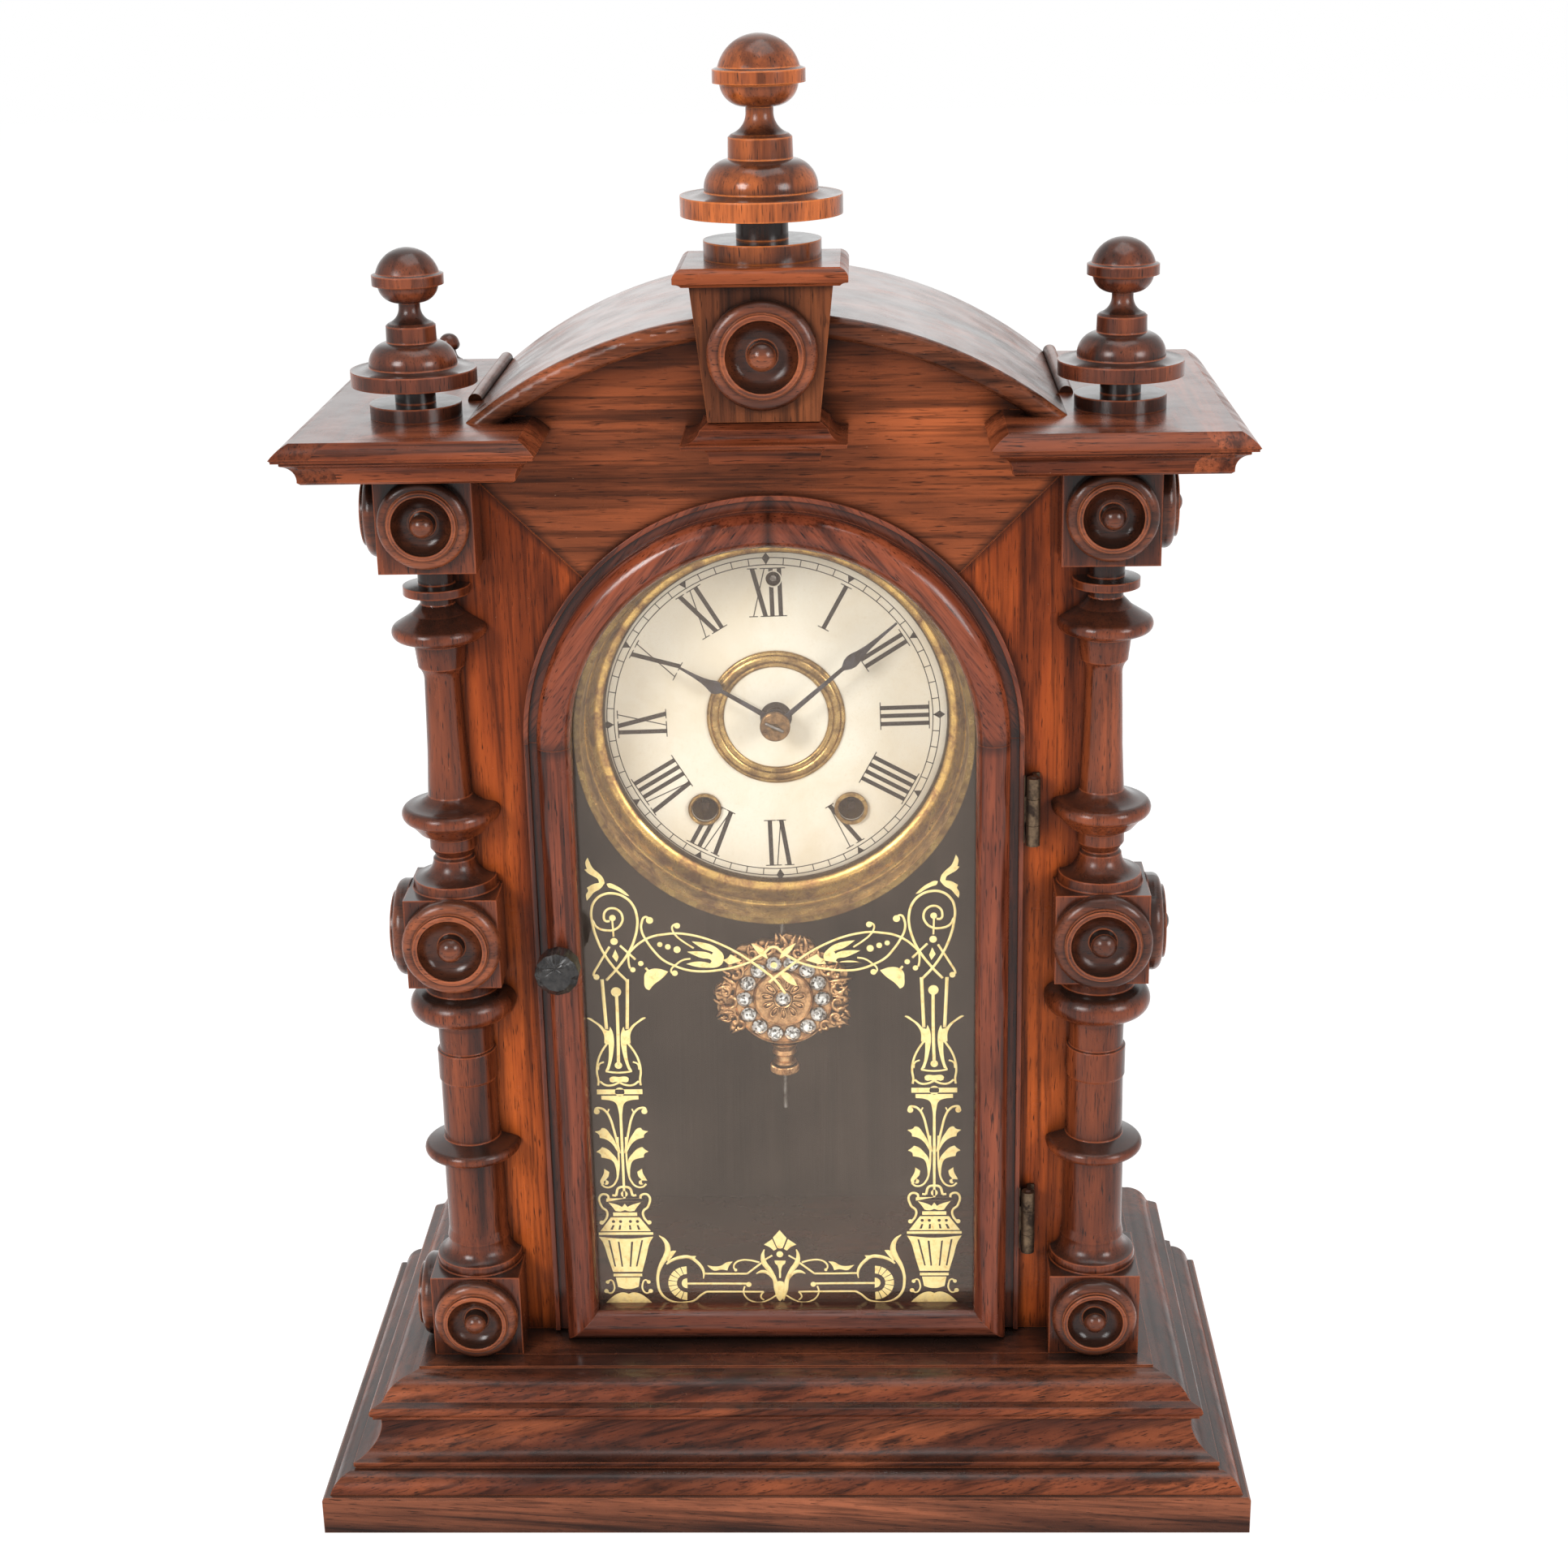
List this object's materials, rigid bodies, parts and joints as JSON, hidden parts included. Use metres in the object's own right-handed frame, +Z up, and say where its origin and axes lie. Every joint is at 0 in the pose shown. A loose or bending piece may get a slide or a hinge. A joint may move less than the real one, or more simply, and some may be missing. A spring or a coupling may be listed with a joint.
{
  "type": "shelf clock",
  "caption": "Free-standing shelf clock with an arched case, turned columns, a glazed hinged door, hands, a pendulum and a wound striking movement.",
  "frame": {"origin": "middle of the underside of the base slab", "axes": "+Z up, +X to the clock's right as seen from the front, -Y out of the dial towards the viewer"},
  "size_m": [0.33, 0.168, 0.5115],
  "materials": {
    "rosewood_case": "varnished veneer",
    "rosewood_turned": "varnished turning",
    "rosewood_door": "varnished moulding",
    "pine": "bare wood",
    "glass": "clear with gilt border",
    "knob_glass": "dark pressed glass",
    "brass": "aged",
    "steel": "plain",
    "blued_steel": "blued",
    "dial_paper": "printed paper on zinc"
  },
  "bodies": {
    "case": {"plinth_slab": "rosewood_case", "plinth_lower_moulding": "rosewood_case", "plinth_upper_moulding": "rosewood_case", "side_panels": "rosewood_case", "front_head": "rosewood_case", "front_rail": "rosewood_case", "front_stiles": "rosewood_case", "cap_left": "rosewood_case", "cap_right": "rosewood_case", "arched_roof": "rosewood_case", "ridge_strips": "rosewood_case", "keystone": "rosewood_case", "keystone_ledge": "rosewood_case", "keystone_cap": "rosewood_case", "rear_blocks": "rosewood_case", "finial_centre": "rosewood_turned", "finials_side": "rosewood_turned", "cap_stud": "rosewood_turned", "column_left": "rosewood_turned", "column_right": "rosewood_turned", "bosses": "rosewood_turned", "plinth_carcase": "pine", "back_board": "pine", "inner_blocks": "pine", "bezel_pan": "brass", "dial_rings": "brass", "movement_plates": "brass", "hinge_case_leaves": "brass", "hinge_pins": "steel", "plate_pillars": "steel", "mainsprings": "steel", "gong": "steel", "dial_plate": "dial_paper"},
    "door": {"door_arch": "rosewood_door", "door_stiles": "rosewood_door", "door_rail": "rosewood_door", "door_glass": "glass", "hinge_door_leaves": "brass", "knob_collar": "brass"},
    "latch": {"door_knob": "knob_glass", "latch_tongue": "steel"},
    "centre": {"centre_arbor": "brass", "minute_hand": "blued_steel", "hand_collet": "brass"},
    "hour": {"hour_wheel": "brass", "hour_hand": "blued_steel"},
    "minute_wheel": {"minute_wheel": "brass"},
    "second_wheel": {"second_wheel": "brass"},
    "great_wheel_time": {"great_wheel_time": "brass"},
    "winding_time": {"winding_arbor_time": "steel"},
    "great_wheel_strike": {"great_wheel_strike": "brass"},
    "winding_strike": {"winding_arbor_strike": "steel"},
    "third_wheel": {"third_wheel": "brass"},
    "escape_wheel": {"escape_wheel": "brass"},
    "verge": {"verge": "steel"},
    "pendulum": {"pendulum_rod": "steel"},
    "bob": {"pendulum_bob": "brass"},
    "rating_nut": {"rating_nut": "brass"},
    "regulator": {"regulator_arbor": "steel"},
    "hammer": {"hammer": "steel"}
  },
  "joints": [
    {"name": "door_hinge", "type": "hinge", "parent": "case", "child": "door", "pos_m": [0.0885, -0.032, 0.1], "axis": [0, 0, 1], "range_deg": [0, 90]},
    {"name": "latch_turn", "type": "hinge", "parent": "door", "child": "latch", "pos_m": [-0.0756, -0.0156, 0.202], "axis": [0, -1, 0], "range_deg": [0, 90]},
    {"name": "minute_hand_turn", "type": "hinge", "parent": "case", "child": "centre", "pos_m": [0, 0, 0.279], "axis": [0, 1, 0], "continuous": true},
    {"name": "hour_hand_turn", "type": "hinge", "parent": "case", "child": "hour", "pos_m": [0, 0, 0.279], "axis": [0, 1, 0], "continuous": true},
    {"name": "minute_wheel_turn", "type": "hinge", "parent": "case", "child": "minute_wheel", "pos_m": [0.012, 0.005, 0.279], "axis": [0, 1, 0], "continuous": true},
    {"name": "second_wheel_turn", "type": "hinge", "parent": "case", "child": "second_wheel", "pos_m": [0.01781, 0.04, 0.26788], "axis": [0, 1, 0], "continuous": true},
    {"name": "great_wheel_time_turn", "type": "hinge", "parent": "case", "child": "great_wheel_time", "pos_m": [0.026, 0.04, 0.245], "axis": [0, 1, 0], "continuous": true},
    {"name": "winding_time_turn", "type": "hinge", "parent": "great_wheel_time", "child": "winding_time", "pos_m": [0.026, 0.02, 0.245], "axis": [0, 1, 0], "range_deg": [0, 1440]},
    {"name": "great_wheel_strike_turn", "type": "hinge", "parent": "case", "child": "great_wheel_strike", "pos_m": [-0.026, 0.04, 0.245], "axis": [0, 1, 0], "continuous": true},
    {"name": "winding_strike_turn", "type": "hinge", "parent": "great_wheel_strike", "child": "winding_strike", "pos_m": [-0.026, 0.02, 0.245], "axis": [0, 1, 0], "range_deg": [0, 1440]},
    {"name": "third_wheel_turn", "type": "hinge", "parent": "case", "child": "third_wheel", "pos_m": [-0.01068, 0.03, 0.29349], "axis": [0, 1, 0], "continuous": true},
    {"name": "escape_wheel_turn", "type": "hinge", "parent": "case", "child": "escape_wheel", "pos_m": [0, 0.025, 0.305], "axis": [0, 1, 0], "continuous": true},
    {"name": "verge_rock", "type": "hinge", "parent": "case", "child": "verge", "pos_m": [0, 0.025, 0.3205], "axis": [0, 1, 0], "range_deg": [-5, 5]},
    {"name": "pendulum_swing", "type": "hinge", "parent": "case", "child": "pendulum", "pos_m": [0, 0.013, 0.325], "axis": [0, 1, 0], "range_deg": [-4, 4]},
    {"name": "bob_slide", "type": "slide", "parent": "pendulum", "child": "bob", "axis": [0, 0, 1], "range_m": [-0.002, 0.002]},
    {"name": "rating_nut_turn", "type": "hinge", "parent": "bob", "child": "rating_nut", "pos_m": [0, 0.013, 0.137], "axis": [0, 0, 1], "range_deg": [-1441, 1441]},
    {"name": "regulator_turn", "type": "hinge", "parent": "case", "child": "regulator", "pos_m": [0, 0.01, 0.329], "axis": [0, 1, 0], "range_deg": [-170, 170]},
    {"name": "hammer_swing", "type": "hinge", "parent": "case", "child": "hammer", "pos_m": [-0.038, 0.05, 0.276], "axis": [0, -1, 0], "range_deg": [0, 7]}
  ],
  "couplings": [
    {"joint": "hour_hand_turn", "follows": "minute_hand_turn", "ratio": 0.083333},
    {"joint": "minute_wheel_turn", "follows": "minute_hand_turn", "ratio": -0.33333},
    {"joint": "second_wheel_turn", "follows": "minute_hand_turn", "ratio": -0.16667},
    {"joint": "great_wheel_time_turn", "follows": "minute_hand_turn", "ratio": 0.020833},
    {"joint": "third_wheel_turn", "follows": "minute_hand_turn", "ratio": -12.5},
    {"joint": "escape_wheel_turn", "follows": "minute_hand_turn", "ratio": 150},
    {"joint": "verge_rock", "follows": "pendulum_swing", "ratio": 1.1915},
    {"joint": "rating_nut_turn", "follows": "bob_slide", "rad_per_m": 12566}
  ]
}
